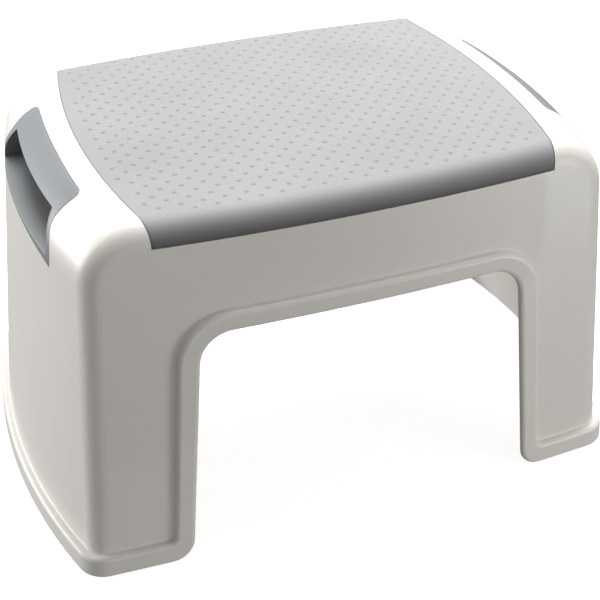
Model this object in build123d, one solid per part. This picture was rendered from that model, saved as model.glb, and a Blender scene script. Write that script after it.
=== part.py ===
from build123d import *
import os

# One-step household stool. A one-piece moulded shell stands on four feet, with an arched opening
# front and back and a thickened rim round the openings and the base. A soft mat is let into the
# tread and turns down over its front and back edges, a hand grip with a closed pocket is let into
# the shoulder of each end, and a pad is pushed into a boss inside each foot.
# Millimetres. +Z is up, +X runs along the length, the front faces -Y, and the origin is on the
# floor under the centre of the tread.

# Overall size, over the rim before its edges are rounded
overall_length = 408.0
overall_width = 273.0
overall_height = 230.0

# Shell: walls lean in towards the tread and bow outwards in plan
wall = 3.0
deck = 4.0
end_lean = 17.1
side_lean = 21.1
end_bow_foot = 22.2
end_bow_head = 14.1
side_bow_foot = 6.2
side_bow_head = 9.7
shoulder_radius = 38.0
edge_radius = 14.0

# Rim round the base and the openings
rim_proud = 4.5
rim_width = 12.5
rim_base_height = 16.0
rim_heel_radius = 5.0
rim_rounding = 2.8
rim_foot_rounding = 1.2

# Arched opening, front and back
leg_width = 61.3
bridge_depth = 70.5
arch_taper = 0.09
arch_corner_radius = 21.0
foot_corner_radius = 15.0

# Ribs under the tread
rib_thickness = 2.2
rib_depth = 18.0
rib_count_x = 8
rib_count_y = 5
rib_margin = 5.0

# Mat
mat_thickness = 1.6
mat_end_margin = 36.7
mat_end_bow = 17.8
mat_drop = 13.5
mat_gap = 0.3
peg_radius = 2.5
peg_head_radius = 3.7
peg_head_length = 4.5
peg_clearance = 0.3
peg_lap = 0.2
peg_taper = 0.8
peg_columns = 4
peg_rows = 2

# Hand grips
grip_gap = 0.25
grip_top_margin = 23.3
grip_top_bow = 4.0
grip_tilt_deg = 23.0
grip_half_high = 60.0
grip_half_low = 68.0
grip_flare = 0.6
grip_corner_radius = 5.0
grip_bend_high_drop = 17.0
grip_bend_low_drop = 29.0
grip_tip_drop = 41.5
grip_sill_rise = 3.0
grip_bend_radius = 12.0
grip_lap = 2.0
slot_top_drop = 12.5
slot_back_margin = 17.5
slot_half_high = 51.5
slot_rim = 5.3
pocket_wall = 1.4
pocket_depth = 36.0
pocket_ceiling_drop = 7.0
pocket_floor_rise = 5.0
pocket_lift = 0.5
snap_length = 9.0
snap_height = 7.0
snap_reach = 2.6

# Feet
pad_proud = 1.0
pad_radius = 10.0
pad_thickness = 4.0
pad_chamfer = 0.6
pad_stem_radius = 3.5
pad_stem_length = 12.0
pad_stem_slack = 0.5
pad_clearance = 0.2
boss_wall = 2.2
boss_height = 24.0
boss_inset = 21.0
web_thickness = 2.4
web_drop = 4.0

# How near a point counts as lying on a line or a face
near_line = 1.0
near_face = 0.02

# The shell's plan at the floor and at the tread, to the corners where the bowed walls would meet.
# The stool is widest at the inner corners of its feet.
foot_half_x = overall_length / 2 - rim_proud - end_bow_foot
arch_half_width = foot_half_x - leg_width
widest_x = arch_half_width + foot_corner_radius / 2
foot_half_y = overall_width / 2 - rim_proud - side_bow_foot * (1 - (widest_x / foot_half_x) ** 2)
head_half_x = foot_half_x - end_lean
head_half_y = foot_half_y - side_lean
head_end_x = head_half_x + end_bow_head
reach = overall_length

# Places that follow from the shell
arch_top = overall_height - bridge_depth
mat_half_length = head_end_x - mat_end_margin
grip_top_x = head_end_x - grip_top_margin
grip_bend_high = overall_height - grip_bend_high_drop
grip_bend_low = overall_height - grip_bend_low_drop
grip_tip_z = overall_height - grip_tip_drop
grip_skin = wall + grip_gap + grip_lap
slot_top_z = overall_height - slot_top_drop
slot_back_x = head_end_x - slot_back_margin
pocket_ceiling_z = overall_height - pocket_ceiling_drop
pocket_back_x = head_end_x - pocket_depth
rib_pitch_x = 2 * (pocket_back_x - rib_margin) / (rib_count_x - 1)
rib_pitch_y = 2 * head_half_y / (rib_count_y + 1)


def plan(half_x, half_y, end_bow, side_bow, z):
    """Four-sided plan with bowed sides at height z."""
    outline = [
        ThreePointArc((half_x, -half_y), (half_x + end_bow, 0), (half_x, half_y)),
        ThreePointArc((half_x, half_y), (0, half_y + side_bow), (-half_x, half_y)),
        ThreePointArc((-half_x, half_y), (-half_x - end_bow, 0), (-half_x, -half_y)),
        ThreePointArc((-half_x, -half_y), (0, -half_y - side_bow), (half_x, -half_y)),
    ]
    return Pos(0, 0, z) * make_face(outline)


def bell(inset, lid):
    """The stool's solid outer form, drawn in by inset at the sides and by lid at the top."""
    foot = plan(foot_half_x - inset, foot_half_y - inset, end_bow_foot, side_bow_foot, pad_proud)
    top = overall_height - lid
    head = plan(head_half_x - inset, head_half_y - inset, end_bow_head, side_bow_head, top)
    body = loft([foot, head], ruled=True)
    rim = body.edges().group_by(Axis.Z)[-1].sort_by(Axis.X)
    body = fillet([rim[0], rim[-1]], shoulder_radius - inset)
    walls = body.faces().sort_by(Axis.Y)
    seams = walls[0].edges() + walls[-1].edges()
    seams = [edge for edge in seams if edge.center().Z > pad_proud + edge_radius]
    return fillet(seams, edge_radius - inset)


def arch_outline(grow, sill_z, heel_radius):
    """Front view of the opening, grown outwards by grow, flaring out along the line z = sill_z."""
    low = -overall_height
    half_sill = arch_half_width + grow - arch_taper * sill_z
    half_top = arch_half_width + grow - arch_taper * arch_top
    top = arch_top + grow
    corners = [
        (-reach, low),
        (-reach, sill_z),
        (-half_sill, sill_z),
        (-half_top, top),
        (half_top, top),
        (half_sill, sill_z),
        (reach, sill_z),
        (reach, low),
    ]
    face = make_face(Polyline(*corners, close=True))
    heels = [v for v in face.vertices() if abs(v.Y - sill_z) < near_line and abs(v.X) < reach / 2]
    face = fillet(heels, heel_radius)
    return fillet(face.vertices().group_by(Axis.Y)[-1], arch_corner_radius + grow)


def across(face):
    """Carry a front-view face right through the stool, front to back."""
    return extrude(Plane.XZ * face, overall_width, both=True)


def along(face, start, length):
    """Carry an end-view face along +X from x = start."""
    return extrude(Plane.YZ.offset(start) * face, length)


def touches(edge, faces):
    """Whether the middle of an edge lies on any of the faces."""
    middle = Vertex(*edge.position_at(0.5))
    return any(face.distance_to(middle) < near_face for face in faces)


def rim(band):
    """The thickened band round both openings and all round the base, with its edges rounded."""
    opening = across(arch_outline(0, pad_proud, foot_corner_radius))
    body = (bell(-rim_proud, -rim_proud) & band) - opening
    faces = body.faces().sort_by(Axis.Y)
    edges = faces[0].edges() + faces[-1].edges()
    edges = edges + body.edges().filter_by_position(Axis.Z, rim_base_height, rim_base_height)
    corner_x = foot_half_x - edge_radius
    lips = []
    for edge in edges:
        place = edge.center()
        upright = abs(place.X) > corner_x and edge.bounding_box().size.Z > rim_rounding
        on_floor = place.Z < pad_proud + near_face
        if not upright and not on_floor and edge not in lips:
            lips.append(edge)
    return fillet(lips, rim_rounding)


def ribs():
    """Crossed ribs that stiffen the tread from below, let half-way into the walls."""
    low = overall_height - deck - rib_depth
    height = rib_depth + deck / 2
    span_x = rib_pitch_x * (rib_count_x - 1)
    grid = Part()
    for x in [rib_pitch_x * (i - (rib_count_x - 1) / 2) for i in range(rib_count_x)]:
        grid += Pos(x, 0, low + height / 2) * Box(rib_thickness, overall_width, height)
    for y in [rib_pitch_y * (i - (rib_count_y - 1) / 2) for i in range(rib_count_y)]:
        grid += Pos(0, y, low + height / 2) * Box(span_x, rib_thickness, height)
    return grid & bell(wall / 2, deck / 2)


def mat_region(gap):
    """Column over the tread that holds the mat, larger all round by gap."""
    half = mat_half_length + gap
    corner = half - mat_end_bow
    side = foot_half_y
    low = overall_height - mat_drop - gap
    outline = [
        ThreePointArc((corner, -side), (half, 0), (corner, side)),
        Line((corner, side), (-corner, side)),
        ThreePointArc((-corner, side), (-half, 0), (-corner, -side)),
        Line((-corner, -side), (corner, -side)),
    ]
    return extrude(Pos(0, 0, low) * make_face(outline), overall_height)


def peg_places():
    """Peg positions in the middle of rib cells."""
    columns = [2 * rib_pitch_x * (i - (peg_columns - 1) / 2) for i in range(peg_columns)]
    rows = [3 * rib_pitch_y * (j - (peg_rows - 1) / 2) for j in range(peg_rows)]
    return [(x, y) for x in columns for y in rows]


def tread_mat():
    """Soft mat with snap pegs on its underside."""
    skin = (bell(0, 0) - bell(mat_thickness, mat_thickness)) & mat_region(0)
    seat = overall_height - mat_thickness
    under = overall_height - deck
    for x, y in peg_places():
        stem = Pos(x, y, (seat + under) / 2) * Cylinder(peg_radius, seat - under + 2 * peg_lap)
        head = Pos(x, y, under - peg_head_length / 2) * Cone(
            peg_radius - peg_taper, peg_head_radius, peg_head_length
        )
        skin = skin + stem + head
    return skin


def grip_outline(inset, top_z):
    """End view of a grip: upright sides that flare out to a pointed tip at each end of the sill."""
    high = grip_half_high - inset
    low = grip_half_low - inset
    tip_z = grip_tip_z + inset
    right = [(low, tip_z), (low - grip_flare, grip_bend_low), (high, grip_bend_high), (high, top_z)]
    left = [(-y, z) for y, z in reversed(right)]
    sides = Polyline(*right, *left)
    sill = ThreePointArc(left[-1], (0, tip_z + grip_sill_rise), right[0])
    face = make_face([*sides.edges(), sill])
    low_bend, high_bend = grip_bend_low - near_line, grip_bend_high + near_line
    bends = [v for v in face.vertices() if low_bend < v.Y < high_bend]
    return fillet(bends, grip_bend_radius)


def slot_outline(grow, top_z):
    """End view of the hand slot, the same flare narrower by the grip's side rim, grown by grow."""
    high = slot_half_high + grow
    low = grip_half_low - slot_rim + grow
    tip_z = grip_tip_z + grip_gap + pocket_lift + pocket_wall - grow
    right = [(low, tip_z), (low - 2 * grip_flare, grip_bend_low), (high, slot_top_z), (high, top_z)]
    right = right if top_z > slot_top_z else right[:3]
    left = [(-y, z) for y, z in reversed(right)]
    sides = Polyline(*right, *left)
    sill = ThreePointArc(left[-1], (0, tip_z + grip_sill_rise), right[0])
    face = make_face([*sides.edges(), sill])
    bends = [v for v in face.vertices() if abs(v.Y - grip_bend_low) < near_line]
    return fillet(bends, grip_bend_radius)


def grip_tool(gap):
    """Region of the right-hand shoulder that the grip fills, drawn in by gap."""
    x_mid = grip_top_x + gap
    x_side = x_mid - grip_top_bow
    side = grip_half_low + slot_rim
    drop = 2 * grip_tip_drop
    edge = ThreePointArc((x_side, -side), (x_mid, 0), (x_side, side))
    rest = Polyline((x_side, side), (reach, side), (reach, -side), (x_side, -side))
    face = Pos(0, 0, overall_height - wall) * make_face([edge, *rest.edges()])
    tilt = Vector(0, 0, 1).rotate(Axis.Y, grip_tilt_deg)
    slab = extrude(face, drop, dir=tilt) + extrude(face, drop, dir=-tilt)
    region = slab & along(grip_outline(gap, overall_height + drop), 0, reach)
    high = grip_half_high + near_line
    corners = [e for e in region.edges() if near_line < abs(e.center().Y) < high and e.length > drop]
    return fillet(corners, grip_corner_radius - gap)


def pocket_profile():
    """Front view of the pocket's hollow: a floor that rises inwards to a straight back."""
    low = grip_tip_z + grip_gap + pocket_lift + pocket_wall
    back_x = pocket_back_x + pocket_wall
    points = [
        (back_x, low + pocket_floor_rise),
        (reach, low - pocket_floor_rise),
        (reach, pocket_ceiling_z),
        (back_x, pocket_ceiling_z),
    ]
    return make_face(Polyline(*points, close=True))


def grip_snaps():
    """Tabs on the pocket's sides that catch behind the shell."""
    y = grip_half_low - slot_rim + pocket_wall
    x = pocket_back_x + pocket_depth / 2
    tab = Box(snap_length, 2 * snap_reach, snap_height)
    return Pos(x, y, grip_tip_z + snap_height) * tab + Pos(x, -y, grip_tip_z + snap_height) * tab


def grip_insert():
    """Hand grip for the right-hand end: a face over the shoulder and a closed pocket behind it."""
    behind_shell = bell(wall + grip_gap, deck + grip_gap)
    face = (bell(0, 0) - bell(grip_skin, grip_skin)) & grip_tool(grip_gap)
    cup = along(slot_outline(pocket_wall, pocket_ceiling_z + pocket_wall), pocket_back_x, reach)
    hollow = along(slot_outline(0, pocket_ceiling_z), pocket_back_x, reach)
    hollow = hollow & across(pocket_profile()) & bell(grip_skin, deck + grip_gap + pocket_wall)
    mouth = along(slot_outline(0, slot_top_z), slot_back_x, reach) & across(pocket_profile())
    body = face + ((cup + grip_snaps()) & behind_shell)
    return body - hollow - mouth


def foot_places():
    """Centres of the four foot bosses."""
    x = foot_half_x - boss_inset
    y = foot_half_y - boss_inset
    return {"front_left": (-x, -y), "front_right": (x, -y), "rear_left": (-x, y), "rear_right": (x, y)}


def foot_boss(x, y):
    """Boss inside a foot's corner, tied to both walls by webs."""
    outer = pad_radius + pad_clearance + boss_wall
    height = boss_height - pad_proud
    web_height = height - web_drop
    side_x = 1 if x > 0 else -1
    side_y = 1 if y > 0 else -1
    post = Pos(x, y, pad_proud + height / 2) * Cylinder(outer, height)
    web_x = Pos(x + side_x * boss_inset, y, pad_proud + web_drop + web_height / 2)
    web_y = Pos(x, y + side_y * boss_inset, pad_proud + web_drop + web_height / 2)
    post += web_x * Box(2 * boss_inset, web_thickness, web_height)
    post += web_y * Box(web_thickness, 2 * boss_inset, web_height)
    return post


def foot_pad(x, y):
    """Round push-in pad with a stem."""
    stem_z = pad_thickness + pad_stem_length / 2
    disc = Pos(x, y, pad_thickness / 2) * Cylinder(pad_radius, pad_thickness)
    disc = chamfer(disc.edges().group_by(Axis.Z)[0], pad_chamfer)
    return disc + Pos(x, y, stem_z) * Cylinder(pad_stem_radius, pad_stem_length)


def pad_socket(x, y):
    """Space in a boss for a foot pad and its stem."""
    seat = Pos(x, y, pad_thickness / 2) * Cylinder(pad_radius + pad_clearance, pad_thickness)
    depth = pad_stem_length + pad_stem_slack
    return seat + Pos(x, y, pad_thickness + depth / 2) * Cylinder(pad_stem_radius, depth)


def body_shell(grip_space):
    """The one-piece moulded shell."""
    band = across(arch_outline(rim_width, rim_base_height, rim_heel_radius))
    walls = bell(0, 0)
    shell = walls + rim(band)
    hollows = [e for e in shell.edges() if touches(e, band.faces()) and touches(e, walls.faces())]
    hollows = [e for e in hollows if e.center().Z > pad_proud + rim_rounding]
    shell = fillet(hollows, rim_foot_rounding)
    behind_rim = across(arch_outline(rim_width - wall, rim_base_height - wall, rim_heel_radius))
    shell = shell - bell(wall, deck) - (bell(wall - rim_proud, deck) & behind_rim)
    shell = shell - across(arch_outline(0, pad_proud, foot_corner_radius))
    shell = shell + ribs()
    bosses = Part()
    for x, y in foot_places().values():
        bosses += foot_boss(x, y)
    shell = shell + (bosses & bell(wall / 2, deck))
    for x, y in foot_places().values():
        shell = shell - pad_socket(x, y)
    recess = mat_region(mat_gap) - bell(mat_thickness, mat_thickness)
    shell = shell - recess
    for x, y in peg_places():
        hole = Cylinder(peg_radius + peg_clearance, 2 * (deck + wall))
        shell = shell - Pos(x, y, overall_height) * hole
    return shell - grip_space - mirror(grip_space, Plane.YZ)


os.makedirs("parts", exist_ok=True)
grip = grip_insert()
export_step(body_shell(grip_tool(0)), "parts/body_shell.step")
export_step(tread_mat(), "parts/tread_mat.step")
export_step(grip, "parts/grip_insert_right.step")
export_step(mirror(grip, Plane.YZ), "parts/grip_insert_left.step")
for corner, (x, y) in foot_places().items():
    export_step(foot_pad(x, y), f"parts/foot_pad_{corner}.step")
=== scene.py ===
"""Looks of the one-step stool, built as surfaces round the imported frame, in metres."""

import math

import bmesh
import bpy
import numpy as np
from bpy.props import FloatProperty, FloatVectorProperty, PointerProperty
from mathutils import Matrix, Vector


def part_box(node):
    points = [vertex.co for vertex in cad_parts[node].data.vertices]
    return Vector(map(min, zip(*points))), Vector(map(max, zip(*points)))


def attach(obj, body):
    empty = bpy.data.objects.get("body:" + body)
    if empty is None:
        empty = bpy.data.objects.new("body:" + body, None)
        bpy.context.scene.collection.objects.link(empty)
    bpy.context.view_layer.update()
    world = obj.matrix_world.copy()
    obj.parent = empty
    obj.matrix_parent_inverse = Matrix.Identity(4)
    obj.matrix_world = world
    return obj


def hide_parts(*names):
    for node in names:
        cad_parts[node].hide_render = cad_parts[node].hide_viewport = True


bl_info = {
    "name": "Step stool",
    "version": (1, 0, 0),
    "blender": (4, 5, 0),
    "location": "View3D > Sidebar > Step stool",
    "description": "Makes the finished surfaces, materials and studio of a one-step stool",
    "category": "Object",
}

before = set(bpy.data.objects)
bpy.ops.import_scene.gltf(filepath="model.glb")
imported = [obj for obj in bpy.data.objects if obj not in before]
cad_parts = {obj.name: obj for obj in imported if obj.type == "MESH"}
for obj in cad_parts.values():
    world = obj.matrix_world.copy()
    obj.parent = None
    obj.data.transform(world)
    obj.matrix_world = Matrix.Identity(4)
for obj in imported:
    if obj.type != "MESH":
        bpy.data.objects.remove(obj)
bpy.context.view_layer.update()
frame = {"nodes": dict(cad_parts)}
BODY = "root"

# Metres in a millimetre, microns in a metre, and the length by which two places may differ and be one
MM = 0.001
MICRONS = 1e6
TINY = 1e-7

# One step of a rounded rim, in the skin's own coordinates
STEP = 0.001

# Rounds in which the skin settles between its bowed ends and its bowed front and back
SETTLE_ROUNDS = 4

# Points round a dimple and round a peg
DIMPLE_SIDES = 16
PEG_SIDES = 20

# Radii of the rings round a dimple, over the dimple's own radius
DIMPLE_RINGS = (0.35, 0.7, 1.0, 1.35)

# Outline of a peg, as radius and height over the mat's lowest level, in millimetres: head, then stem
PEG_OUTLINE = ((1.2, 0.0), (1.7, 0.4), (3.5, 4.0), (3.7, 4.4), (3.5, 4.6), (2.5, 4.7), (2.5, 7.6))
PEG_COLUMNS = 4
PEG_ROWS = 2

# Edges that stay sharp on the mat and on a peg
MAT_SHARP = math.radians(60)
PEG_SHARP = math.radians(40)

# Grips: points merged within this length, faces flattened within this angle, edges softened past this one
GRIP_MERGE = 2e-6
GRIP_FLAT = math.radians(0.5)
GRIP_SHARP = math.radians(38)
GRIP_SEGMENTS = 3

# Heights between which the mat's turned-down edges go from a darker painted shade to the plain tone
MAT_EDGE_SHADE_HEIGHTS = (0.217, 0.229)

# Studio: half the floor's side, how far it lies under the pads, how much it glows, and the air's light
FLOOR_HALF = 4.0
FLOOR_DROP = 0.0002
FLOOR_GLOW = 0.8
AIR_COLOUR = (1.0, 0.98, 0.95, 1.0)
AIR_LIGHT = 0.215

# Lamps: name, place, side of the square and power in watts. All of them point at the middle of the stool
LAMPS = (
    ("overhead", (0.4, 0.65, 1.8), 1.5, 66.0),
    ("left_window", (-1.7, 1.1, 0.55), 1.1, 37.0),
    ("right_fill", (0.7, -0.85, 0.1), 0.5, 4.2),
    ("low_fill", (-0.15, -1.1, 0.02), 0.4, 1.1),
)
STOOL_MIDDLE = (0, 0, 0.15)

# Camera: place, turn to the right, fall below level, lens on a 36 mm sensor, and sideways shift
CAMERA_PLACE = (-0.26045, -0.66494, 0.57646)
CAMERA_TURN = math.radians(20.81)
CAMERA_FALL = math.radians(34.84)
CAMERA_LENS = 74.77
CAMERA_SENSOR = 36.0
CAMERA_SHIFT = 0.0334


# ---------------------------------------------------------------- sizes and colours


def size_value(name, default, description):
    """A length in metres that the sidebar can change, with its default in millimetres."""
    return FloatProperty(
        name=name,
        description=description,
        default=default * MM,
        min=0.0,
        subtype="DISTANCE",
        unit="LENGTH",
        precision=5,
    )


def colour_value(name, default, description):
    """A linear colour that the sidebar can change."""
    return FloatVectorProperty(
        name=name, description=description, default=default, subtype="COLOR", size=3, min=0.0, max=1.0
    )


class StoolSizes(bpy.types.PropertyGroup):
    """Sizes of the finished surfaces"""

    edge_radius: size_value("Edge roll", 14.0, "Radius of the roll over the front and back of the tread")
    head_half_length: size_value("Tread half length", 160.2, "Half the tread's chord along the front edge")
    head_half_width: size_value("Tread half width", 107.71, "Half the tread's chord along an end")
    foot_half_length: size_value("Foot half length", 177.3, "Half the foot's chord along the front")
    foot_half_width: size_value("Foot half width", 128.81, "Half the foot's chord along an end")
    side_bow_head: size_value("Front bow at the tread", 9.7, "How far the front bows out at the tread")
    side_bow_foot: size_value("Front bow at the foot", 6.2, "How far the front bows out at the foot")
    mat_end_bow: size_value("Mat end bow", 17.8, "How far each end of the mat bows out")
    mat_drop: size_value("Mat drop", 13.5, "How far the mat turns down over the front and back")
    mat_depth: size_value("Mat thickness", 1.5, "Thickness of the mat")
    mat_rim: size_value("Mat rim radius", 0.8, "Radius of the mat's rounded rim")
    dimple_pitch_x: size_value("Dimple pitch along", 12.7, "Distance between dimples in a row")
    dimple_pitch_y: size_value("Dimple pitch across", 6.52, "Distance between rows of dimples")
    dimple_radius: size_value("Dimple radius", 1.7, "Radius of a dimple")
    dimple_depth: size_value("Dimple depth", 0.4, "Depth of a dimple")
    dimple_margin: size_value("Dimple margin", 5.5, "Plain border at each end of the mat")
    grip_edge: size_value("Grip edge radius", 0.5, "Radius of the softened edges of the grips")
    peg_pitch_x: size_value("Peg pitch along", 76.2, "Distance between pegs along the mat")
    peg_pitch_y: size_value("Peg pitch across", 107.7, "Distance between the two rows of pegs")


class StoolColours(bpy.types.PropertyGroup):
    """Colours of the finishes"""

    shell: colour_value("Shell", (0.80, 0.782, 0.742), "White of the moulded shell")
    mat: colour_value("Mat", (0.32, 0.32, 0.33), "Grey of the soft mat")
    grip: colour_value("Grips", (0.225, 0.238, 0.247), "Grey of the hand grips")
    pad: colour_value("Foot pads", (0.06, 0.06, 0.062), "Grey of the rubber foot pads")


# ---------------------------------------------------------------- surfaces


def flat_arc(half_chord, rise, along, crown):
    """Circle arc over a chord: it stands at crown in the middle and rise lower at half_chord."""
    radius = (half_chord**2 + rise**2) / (2 * rise)
    return crown - radius + np.sqrt(radius**2 - along**2)


def patch(a, b):
    """A plain grid over the lines a and b: its points, its four-sided faces and no dimple."""
    across, along = np.meshgrid(a, b)
    index = np.arange(across.size).reshape(across.shape)
    faces = np.stack([index[:-1, :-1], index[:-1, 1:], index[1:, 1:], index[1:, :-1]], axis=-1)
    return np.column_stack([across.ravel(), along.ravel()]), faces.reshape(-1, 4), np.zeros(across.size)


def tiles(centres, pitch_x, pitch_y, radii, depths):
    """Rings of points round each centre, each ring at its own depth, out to the tile's straight edges."""
    step = np.arange(DIMPLE_SIDES)
    after = (step + 1) % DIMPLE_SIDES
    turn = step * (2 * np.pi / DIMPLE_SIDES)
    circle = np.column_stack([np.cos(turn), np.sin(turn)])
    square = np.round(2 * circle / np.abs(circle).max(axis=1, keepdims=True)) / 2
    rings = [circle * r for r in radii] + [square * (pitch_x / 2, pitch_y / 2)]
    local = np.vstack([np.zeros((1, 2)), *rings])
    level = np.concatenate([[1.0], np.repeat(depths, DIMPLE_SIDES), np.zeros(DIMPLE_SIDES)])
    faces = [np.column_stack([0 * step, 1 + step, 1 + after, 0 * step])]
    for inner in 1 + DIMPLE_SIDES * np.arange(len(radii)):
        outer = inner + DIMPLE_SIDES
        faces.append(np.column_stack([inner + step, outer + step, outer + after, inner + after]))
    first = np.arange(len(centres))[:, None, None] * len(local)
    points = (centres[:, None, :] + local[None]).reshape(-1, 2)
    return points, (first + np.vstack(faces)[None]).reshape(-1, 4), np.tile(level, (len(centres), 1))


def lattice(a, b):
    """Every pair of a value of a and a value of b."""
    across, along = np.meshgrid(a, b)
    return np.column_stack([across.ravel(), along.ravel()])


def weld(parts):
    """Joins patches that share edge points into one set of points and faces."""
    points = np.vstack([p for p, _, _ in parts])
    level = np.concatenate([np.ravel(v) for _, _, v in parts])
    shift = np.cumsum([0] + [len(p) for p, _, _ in parts[:-1]])
    faces = np.vstack([f + s for (_, f, _), s in zip(parts, shift)])
    spots = np.round(points * MICRONS).astype(int)
    _, keep, same = np.unique(spots, axis=0, return_index=True, return_inverse=True)
    return points[keep], same.ravel()[faces], level[keep]


def add_piece(name, mesh):
    """Puts a mesh into the scene as a new object."""
    piece = bpy.data.objects.new(name, mesh)
    bpy.context.scene.collection.objects.link(piece)
    return piece


def make_piece(name, points, faces, sharp_angle, **values):
    """Puts points, faces and values at points into a new object. A three-sided face repeats a corner."""
    rows = [list(dict.fromkeys(face)) for face in faces]
    mesh = bpy.data.meshes.new(name)
    mesh.from_pydata(points.tolist(), [], rows)
    for key, value in values.items():
        mesh.attributes.new(key, "FLOAT", "POINT").data.foreach_set("value", np.asarray(value, dtype=float))
    mesh.shade_smooth()
    mesh.set_sharp_from_angle(angle=sharp_angle)
    mesh.validate()
    return add_piece(name, mesh)


class MatSkin:
    """The mat's skin: flat over the tread and rolled down over its front and back edges.

    A point is named by a along the mat and b across it. Up to the last tile these are metres over the
    surface, and past it each STEP is one step of the rounded rim.
    """

    # Dimple tiles along and across the mat, faces along a tile's side, over the roll and round the rim
    columns = 22
    rows = 32
    cuts = 4
    roll_steps = 14
    rim_steps = 4

    def __init__(self, size):
        self.size = size
        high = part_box("tread_mat")[1]
        self.top = high[2]
        self.half_length = high[0]
        self.edge_a = self.columns * size.dimple_pitch_x / 2
        self.flat_b = self.rows * size.dimple_pitch_y / 2
        self.edge_b = self.flat_b + self.roll_steps * size.dimple_pitch_y / self.cuts
        self.turn_end = math.asin(1 - size.mat_drop / size.edge_radius)

    def end_x(self, y):
        """Half the mat's length at y, a flat arc."""
        chord = self.size.foot_half_width
        return flat_arc(chord, self.size.mat_end_bow, np.minimum(y, chord), self.half_length)

    def roll_line(self, x):
        """Where the roll's centre line stands at x, and how much the front's bow stretches the roll there.

        The wall is a straight line from the tread's flat arc to the foot's, and the roll touches both.
        """
        size = self.size
        spread = size.foot_half_length / size.head_half_length
        head_crown = size.head_half_width + size.side_bow_head
        head = flat_arc(size.head_half_length, size.side_bow_head, x, head_crown)
        foot_crown = size.foot_half_width + size.side_bow_foot
        foot = flat_arc(size.foot_half_length, size.side_bow_foot, x * spread, foot_crown)
        lean = np.arctan2(foot - head, self.top)
        bow = 1 / np.cos(2 * size.side_bow_head * x / size.head_half_length**2)
        return head + size.edge_radius * (np.tan(lean) - bow / np.cos(lean)), bow

    def rim(self, steps):
        """Inset from the edge and drop below the skin, a quarter circle in rim_steps steps."""
        turn = np.clip(steps, 0, self.rim_steps) * (math.pi / 2 / self.rim_steps)
        return self.size.mat_rim * (1 - np.sin(turn)), self.size.mat_rim * (1 - np.cos(turn))

    def place(self, points, level, underside=False):
        """Points in metres. Past the free stretch, a and b are drawn in evenly to the mat's own edges."""
        size = self.size
        a, b = np.abs(points[:, 0]), np.abs(points[:, 1])
        inset_a, drop_a = self.rim((a - self.edge_a) / STEP)
        inset_b, drop_b = self.rim((b - self.edge_b) / STEP)
        drop = size.mat_depth + 0 * a if underside else np.maximum(drop_a, drop_b) + level * size.dimple_depth
        y = np.minimum(b, size.head_half_width)
        for _ in range(SETTLE_ROUNDS):
            end = self.end_x(y)
            free = end - size.dimple_margin
            draw = (end - size.mat_rim - free) / (self.edge_a - free)
            x = np.where(a < free, a, free + (np.minimum(a, self.edge_a) - free) * draw)
            x = np.where(a > self.edge_a, end - inset_a, x)
            centre, bow = self.roll_line(x)
            length = centre + size.edge_radius * (math.pi / 2 - self.turn_end)
            draw = (length - size.mat_rim - centre) / (self.edge_b - centre)
            s = np.where(b < centre, b, centre + (np.minimum(b, self.edge_b) - centre) * draw)
            s = np.where(b > self.edge_b, length - inset_b, s)
            turn = math.pi / 2 - np.maximum(s - centre, 0) / size.edge_radius
            y = np.minimum(s, centre) + (size.edge_radius - drop) * bow * np.cos(turn)
        z = self.top - size.edge_radius + (size.edge_radius - drop) * np.sin(turn)
        return np.column_stack([np.sign(points[:, 0]) * x, np.sign(points[:, 1]) * y, z])

    def dimpled(self, centres):
        """Whether the spot at each centre lies clear of the mat's ends and at most just over the roll."""
        clear = self.end_x(np.abs(centres[:, 1])) - self.size.dimple_margin - self.size.dimple_radius
        flat, _ = self.roll_line(centres[:, 0])
        over = self.size.dimple_radius / 4
        return (np.abs(centres[:, 0]) < clear) & (np.abs(centres[:, 1]) < flat + over)

    def surface(self):
        """Top skin: staggered dimpled tiles, half tiles at the ends of every other row, and plain edges."""
        size = self.size
        pitch_x, pitch_y = size.dimple_pitch_x, size.dimple_pitch_y
        reach = np.array(DIMPLE_RINGS)
        depths = np.sqrt(np.maximum(1 - reach**2, 0))
        rows = (np.arange(self.rows) - (self.rows - 1) / 2) * pitch_y
        wide = (np.arange(self.columns) - (self.columns - 1) / 2) * pitch_x
        narrow = (np.arange(self.columns - 1) - (self.columns - 2) / 2) * pitch_x
        centres = np.vstack([lattice(wide, rows[0::2]), lattice(narrow, rows[1::2])])
        points, faces, level = tiles(centres, pitch_x, pitch_y, reach * size.dimple_radius, depths)
        parts = [(points, faces, level * self.dimpled(centres)[:, None])]
        whole = np.linspace(-0.5, 0.5, self.cuts + 1) * pitch_y
        half = np.linspace(0, 0.5, self.cuts // 2 + 1) * pitch_x
        for row in rows[1::2]:
            parts += [patch(side + half, row + whole) for side in (-self.edge_a, self.edge_a - pitch_x / 2)]
        lines_a, lines_b, flat_b = self.lines()
        for side in (-1, 1):
            parts.append(patch(lines_a[side * lines_a >= self.edge_a - TINY], flat_b))
            parts.append(patch(lines_a, lines_b[side * lines_b >= self.flat_b - TINY]))
        return weld(parts)

    def lines(self):
        """Grid lines along and across, the rim's steps with them, and those of the flat stretch alone."""
        size = self.size
        rim = STEP * np.arange(1, self.rim_steps + 1)
        tile_a = np.linspace(-self.edge_a, self.edge_a, self.cuts * self.columns + 1)
        flat_b = np.linspace(-self.flat_b, self.flat_b, self.cuts * self.rows + 1)
        roll = self.flat_b + np.arange(1, self.roll_steps + 1) * size.dimple_pitch_y / self.cuts
        beyond = np.concatenate([roll, self.edge_b + rim])
        lines_a = np.concatenate([-(self.edge_a + rim)[::-1], tile_a, self.edge_a + rim])
        lines_b = np.concatenate([-beyond[::-1], flat_b, beyond])
        return lines_a, lines_b, flat_b

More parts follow.
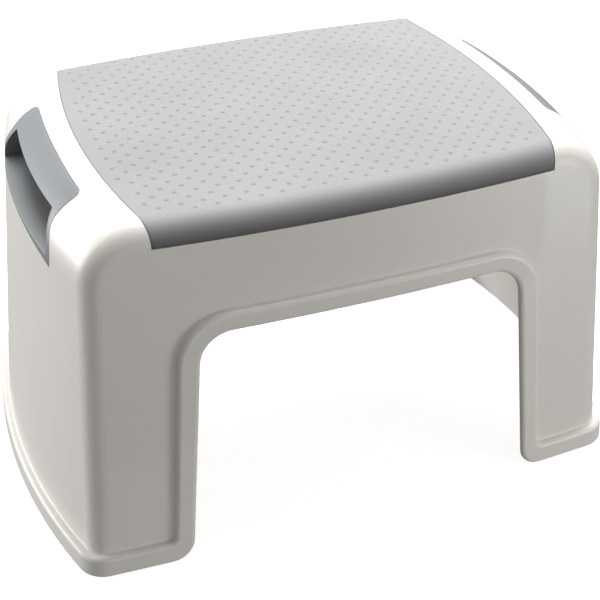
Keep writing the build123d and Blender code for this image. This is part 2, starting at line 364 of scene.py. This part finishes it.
    def closed(self):
        """The whole mat: top skin, underside and the narrow wall that joins them all round."""
        points, faces, level = self.surface()
        lines_a, lines_b, _ = self.lines()
        under, under_faces, flat = patch(lines_a, lines_b)
        top = self.place(points, level)
        low = self.place(under, flat, underside=True)
        grid = np.arange(len(under)).reshape(len(lines_b), len(lines_a))
        loop = np.concatenate([grid[0, :-1], grid[:-1, -1], grid[-1, :0:-1], grid[:0:-1, 0]])
        # A point's two places in microns as one whole number
        one_number = np.array([1 << 24, 1])
        key = np.round(points * MICRONS).astype(np.int64) @ one_number
        wanted = np.round(under[loop] * MICRONS).astype(np.int64) @ one_number
        order = np.argsort(key)
        upper = order[np.searchsorted(key[order], wanted)]
        lower = loop + len(top)
        wall = np.column_stack([lower, np.roll(lower, -1), np.roll(upper, -1), upper])
        all_faces = np.vstack([faces, under_faces[:, ::-1] + len(top), wall])
        return np.vstack([top, low]), all_faces, np.concatenate([level, flat])


def turned(profile, centres, sides):
    """Closed forms, one at each centre: a profile of (radius, height) points carried round its own axis."""
    step = np.arange(sides)
    after = (step + 1) % sides
    turn = step * (2 * np.pi / sides)
    ring = np.stack([np.cos(turn), np.sin(turn)], axis=-1)
    heights = np.broadcast_to(profile[:, None, 1:], (len(profile), sides, 1))
    local = np.concatenate([profile[:, None, :1] * ring[None], heights], axis=2)
    rows = sides * np.arange(len(profile) - 1)[:, None]
    walls = np.stack([rows + step, rows + after, rows + sides + after, rows + sides + step], axis=-1)
    caps = [step[::-1], sides * (len(profile) - 1) + step]
    base = np.column_stack([centres, np.zeros(len(centres))])
    points = (base[:, None, :] + local.reshape(1, -1, 3)).reshape(-1, 3)
    first = len(profile) * sides * np.arange(len(centres))
    faces = np.concatenate([walls.reshape(-1, 4) + shift for shift in first]).tolist()
    return points, faces + [(cap + shift).tolist() for shift in first for cap in caps]


# ---------------------------------------------------------------- shader maths


class Reading:
    """A shader value that takes part in sums: each operator adds its Math node."""

    def __init__(self, finish, socket):
        self.finish = finish
        self.socket = socket

    def math(self, operation, *others):
        values = [self.socket, *[getattr(o, "socket", o) for o in others]]
        node = self.finish.node("ShaderNodeMath", {"operation": operation}, *values)
        return Reading(self.finish, node.outputs[0])

    def flipped(self, operation, other):
        node = self.finish.node("ShaderNodeMath", {"operation": operation}, other, self.socket)
        return Reading(self.finish, node.outputs[0])

    def __add__(self, other):
        return self.math("ADD", other)

    def __mul__(self, other):
        return self.math("MULTIPLY", other)

    def __sub__(self, other):
        return self.math("SUBTRACT", other)

    def __rsub__(self, other):
        return self.flipped("SUBTRACT", other)

    def ramp(self, low, high):
        """0 at or below low, 1 at or above high, and straight between."""
        return ((self - low) * (1 / (high - low))).math("MINIMUM", 1.0).math("MAXIMUM", 0.0)


class Finish:
    """A material in the making, with one method that adds any node."""

    def __init__(self, name):
        self.material = bpy.data.materials.new(name)
        self.material.use_nodes = True
        self.tree = self.material.node_tree
        self.tree.nodes.clear()
        self.shader = self.node("ShaderNodeBsdfPrincipled")
        output = self.node("ShaderNodeOutputMaterial")
        self.tree.links.new(self.shader.outputs[0], output.inputs["Surface"])
        self.place = self.node("ShaderNodeTexCoord").outputs["Object"]

    def node(self, kind, settings=None, *values, **named):
        """Adds a node of a kind, with its settings first and then its sockets, by place or by name."""
        node = self.tree.nodes.new(kind)
        for key, value in (settings or {}).items():
            setattr(node, key, value)
        pairs = [(node.inputs[i], v) for i, v in enumerate(values)]
        pairs += [(node.inputs[k.replace("_", " ")], v) for k, v in named.items()]
        for socket, value in pairs:
            self.feed(socket, value)
        return node

    def feed(self, socket, value):
        """Links a reading or an output to a socket, or sets the socket's own value."""
        value = getattr(value, "socket", value)
        if isinstance(value, bpy.types.NodeSocket):
            self.tree.links.new(value, socket)
        else:
            socket.default_value = value

    def set(self, **named):
        for key, value in named.items():
            self.feed(self.shader.inputs[key.replace("_", " ")], value)

    def noise(self, scale, detail=2.0, roughness=0.5, stretch=(1, 1, 1)):
        """A noise reading round 0.5, with scale in spots per metre."""
        place = self.node("ShaderNodeMapping", None, Vector=self.place, Scale=stretch)
        made = self.node(
            "ShaderNodeTexNoise",
            {"noise_dimensions": "3D"},
            Vector=place.outputs[0],
            Scale=scale,
            Detail=detail,
            Roughness=roughness,
        )
        return Reading(self, made.outputs["Fac"])

    def axis(self, name):
        """The X, Y or Z of the object's own coordinates, in metres."""
        node = self.node("ShaderNodeSeparateXYZ", None, self.place)
        return Reading(self, node.outputs[name])

    def mix(self, factor, first, second):
        """Blends two colours by a factor."""
        node = self.node("ShaderNodeMix", {"data_type": "RGBA"})
        ends = [socket for socket in node.inputs if socket.type == "RGBA"]
        for socket, value in zip([node.inputs["Factor"], *ends], (factor, first, second)):
            self.feed(socket, value)
        return next(socket for socket in node.outputs if socket.type == "RGBA")

    def bump(self, height, strength, distance):
        node = self.node("ShaderNodeBump", None, Strength=strength, Distance=distance, Height=height)
        self.set(Normal=node.outputs[0])


def shade(colour, factor=1.0):
    """A colour made darker or lighter by a factor, with its alpha."""
    return tuple(c * factor for c in colour) + (1.0,)


def moulded_white(colour):
    """Satin white moulded plastic: a faint orange-peel skin, slow tone changes and dull scuffs low down."""
    made = Finish("moulded_white")
    cloud = made.noise(9.0, detail=3.0).ramp(0.35, 0.7)
    scuff = made.noise(55.0, detail=4.0, roughness=0.65, stretch=(1, 1, 0.35)).ramp(0.56, 0.72)
    low = 1 - made.axis("Z").ramp(0.0, 0.05)
    wear = scuff * (low * 0.5 + 0.12)
    warm = shade([c * f for c, f in zip(colour, (0.965, 0.95, 0.92))])
    tone = made.mix(cloud * 0.35, shade(colour), warm)
    made.set(Base_Color=made.mix(wear * 0.35, tone, shade(colour, 0.72)))
    made.set(Roughness=made.noise(30.0) * 0.10 + wear * 0.22 + 0.27, IOR=1.49)
    made.bump(made.noise(700.0, detail=1.0) * 0.7 + made.noise(160.0) * 0.3, strength=0.10, distance=0.0004)
    return made.material


def soft_mat(colour):
    """Soft matt mat: a fine grain, uneven grey, painted shade inside the dimples, and painted shade darkening
    its turned-down edges.
    """
    made = Finish("soft_mat")
    dimple = made.node("ShaderNodeAttribute", {"attribute_name": "hollow"}).outputs["Fac"]
    # Painted shade: the base colour darkens inside each dimple, the more the deeper
    painted_dimple_shade = Reading(made, dimple) * 0.5
    plain = made.mix(made.noise(14.0, detail=3.0).ramp(0.35, 0.7), shade(colour), shade(colour, 0.93))
    # Painted shade: the turned-down edges take a darker tone below the tread's top
    painted_edge_shade = made.mix(made.axis("Z").ramp(*MAT_EDGE_SHADE_HEIGHTS), shade(colour, 0.42), plain)
    made.set(Base_Color=made.mix(painted_dimple_shade, painted_edge_shade, shade(colour, 0.55)))
    made.set(Roughness=made.noise(60.0) * 0.1 + 0.55, Specular_IOR_Level=0.25)
    made.bump(made.noise(1500.0, detail=2.0), strength=0.2, distance=0.0003)
    return made.material


def grained_grey(colour):
    """Hard grey plastic with a fine spark-eroded grain."""
    made = Finish("grained_grey")
    made.set(Base_Color=made.mix(made.noise(20.0).ramp(0.35, 0.7), shade(colour), shade(colour, 0.94)))
    made.set(Roughness=made.noise(80.0) * 0.1 + 0.42, IOR=1.49)
    made.bump(made.noise(1300.0, detail=2.0), strength=0.18, distance=0.0003)
    return made.material


def dark_rubber(colour):
    """Dark rubber of the foot pads."""
    made = Finish("dark_rubber")
    dust = made.noise(90.0, detail=3.0).ramp(0.4, 0.65)
    made.set(Base_Color=made.mix(dust, shade(colour), shade(colour, 1.3)))
    made.set(Roughness=made.noise(200.0) * 0.15 + 0.62, IOR=1.5)
    made.bump(made.noise(1800.0, detail=2.0), strength=0.3, distance=0.0002)
    return made.material


def dress(piece, material):
    """Gives every material slot of a piece one material."""
    piece.data.materials.clear()
    piece.data.materials.append(material)
    for polygon in piece.data.polygons:
        polygon.material_index = 0


def looking(offset):
    """The turn that points a lamp or a camera along an offset."""
    return Vector(offset).to_track_quat("-Z", "Y").to_euler()


def add_floor():
    """A pale glowing floor just under the pads. It lights nothing but the view."""
    side, level = FLOOR_HALF, -FLOOR_DROP
    corners = [(-side, -side, level), (side, -side, level), (side, side, level), (-side, side, level)]
    mesh = bpy.data.meshes.new("floor")
    mesh.from_pydata(corners, [], [(0, 1, 2, 3)])
    floor = add_piece("floor", mesh)
    floor.visible_diffuse = False
    floor.visible_glossy = False
    paper = Finish("pale_floor")
    paper.set(Base_Color=(0.9, 0.9, 0.9, 1.0), Roughness=0.9)
    paper.set(Emission_Color=(1, 1, 1, 1), Emission_Strength=FLOOR_GLOW)
    mesh.materials.append(paper.material)


def add_lights():
    """The even light of the air and the lamps."""
    world = bpy.data.worlds.new("studio")
    bpy.context.scene.world = world
    world.use_nodes = True
    air = world.node_tree.nodes["Background"].inputs
    air["Color"].default_value = AIR_COLOUR
    air["Strength"].default_value = AIR_LIGHT
    for name, place, side, power in LAMPS:
        light = bpy.data.lights.new(name, "AREA")
        light.shape = "SQUARE"
        light.size = side
        light.energy = power
        lamp = add_piece(name, light)
        lamp.location = place
        lamp.rotation_euler = looking(Vector(STOOL_MIDDLE) - Vector(place))


def add_camera():
    """The camera, above the front and left of the middle."""
    lens = bpy.data.cameras.new("camera")
    lens.sensor_width = CAMERA_SENSOR
    lens.lens = CAMERA_LENS
    lens.shift_x = CAMERA_SHIFT
    camera = add_piece("camera", lens)
    camera.location = CAMERA_PLACE
    level = math.cos(CAMERA_FALL)
    aim = (math.sin(CAMERA_TURN) * level, math.cos(CAMERA_TURN) * level, -math.sin(CAMERA_FALL))
    camera.rotation_euler = looking(aim)
    bpy.context.scene.camera = camera


class StoolStage(bpy.types.Operator):
    """Makes the pale floor, the soft lights and the camera"""

    bl_idname = "stool.stage"
    bl_label = "Stage"

    def execute(self, context):
        add_floor()
        add_lights()
        add_camera()
        context.scene.view_settings.view_transform = "Standard"
        return {"FINISHED"}


class StoolMat(bpy.types.Operator):
    """Makes the soft mat with its dimples, rolled edges and pegs"""

    bl_idname = "stool.mat"
    bl_label = "Mat"

    def execute(self, context):
        size = context.scene.stool_sizes
        soft = soft_mat(context.scene.stool_colours.mat)
        points, faces, level = MatSkin(size).closed()
        mat = make_piece("tread_mat_soft", points, faces.tolist(), MAT_SHARP, hollow=level)
        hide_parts("tread_mat")
        columns = (np.arange(PEG_COLUMNS) - (PEG_COLUMNS - 1) / 2) * size.peg_pitch_x
        rows = (np.arange(PEG_ROWS) - (PEG_ROWS - 1) / 2) * size.peg_pitch_y
        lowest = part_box("tread_mat")[0][2]
        outline = np.array(PEG_OUTLINE) * MM + (0, lowest)
        points, faces = turned(outline, lattice(columns, rows), PEG_SIDES)
        pegs = make_piece("mat_pegs", points, faces, PEG_SHARP)
        for piece in (mat, pegs):
            dress(piece, soft)
            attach(piece, BODY)
        return {"FINISHED"}


def softened(name, node, width):
    """A copy of a CAD node, merged first, with its sharp edges rounded by width."""
    form = bmesh.new()
    form.from_mesh(node.data)
    bmesh.ops.remove_doubles(form, verts=form.verts, dist=GRIP_MERGE)
    bmesh.ops.dissolve_limit(form, angle_limit=GRIP_FLAT, verts=form.verts, edges=form.edges)
    mesh = bpy.data.meshes.new(name)
    form.to_mesh(mesh)
    form.free()
    mesh.shade_smooth()
    piece = add_piece(name, mesh)
    edge = piece.modifiers.new("edges", "BEVEL")
    edge.limit_method = "ANGLE"
    edge.angle_limit = GRIP_SHARP
    edge.width = width
    edge.segments = GRIP_SEGMENTS
    edge.harden_normals = True
    edge.use_clamp_overlap = False
    return piece


class StoolGrips(bpy.types.Operator):
    """Makes the hand grips, with softened edges"""

    bl_idname = "stool.grips"
    bl_label = "Grips"

    def execute(self, context):
        grey = grained_grey(context.scene.stool_colours.grip)
        for side in ("left", "right"):
            node = frame["nodes"][f"grip_insert_{side}"]
            grip = softened(f"grip_{side}_soft", node, context.scene.stool_sizes.grip_edge)
            dress(grip, grey)
            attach(grip, BODY)
            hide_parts(node.name)
        return {"FINISHED"}


class StoolFinishes(bpy.types.Operator):
    """Gives the shell and the foot pads their materials"""

    bl_idname = "stool.finishes"
    bl_label = "Finishes"

    def execute(self, context):
        nodes, colours = frame["nodes"], context.scene.stool_colours
        dress(nodes["body_shell"], moulded_white(colours.shell))
        rubber = dark_rubber(colours.pad)
        for name in nodes:
            if name.startswith("foot_pad"):
                dress(nodes[name], rubber)
        return {"FINISHED"}


class StoolPanel(bpy.types.Panel):
    """Sizes, colours and the steps that make the stool"""

    bl_idname = "VIEW3D_PT_step_stool"
    bl_label = "Step stool"
    bl_space_type = "VIEW_3D"
    bl_region_type = "UI"
    bl_category = "Step stool"

    def draw(self, context):
        for group in (context.scene.stool_sizes, context.scene.stool_colours):
            for name in group.__annotations__:
                self.layout.prop(group, name)
        for step in STEPS:
            self.layout.operator(step.bl_idname)


STEPS = (StoolStage, StoolMat, StoolGrips, StoolFinishes)
CLASSES = (StoolSizes, StoolColours, *STEPS, StoolPanel)


def register():
    for item in CLASSES:
        bpy.utils.register_class(item)
    bpy.types.Scene.stool_sizes = PointerProperty(type=StoolSizes)
    bpy.types.Scene.stool_colours = PointerProperty(type=StoolColours)


def unregister():
    del bpy.types.Scene.stool_sizes
    del bpy.types.Scene.stool_colours
    for item in reversed(CLASSES):
        bpy.utils.unregister_class(item)


def main():
    register()
    bpy.ops.stool.stage()
    bpy.ops.stool.mat()
    bpy.ops.stool.grips()
    bpy.ops.stool.finishes()


if __name__ == "__main__":
    main()
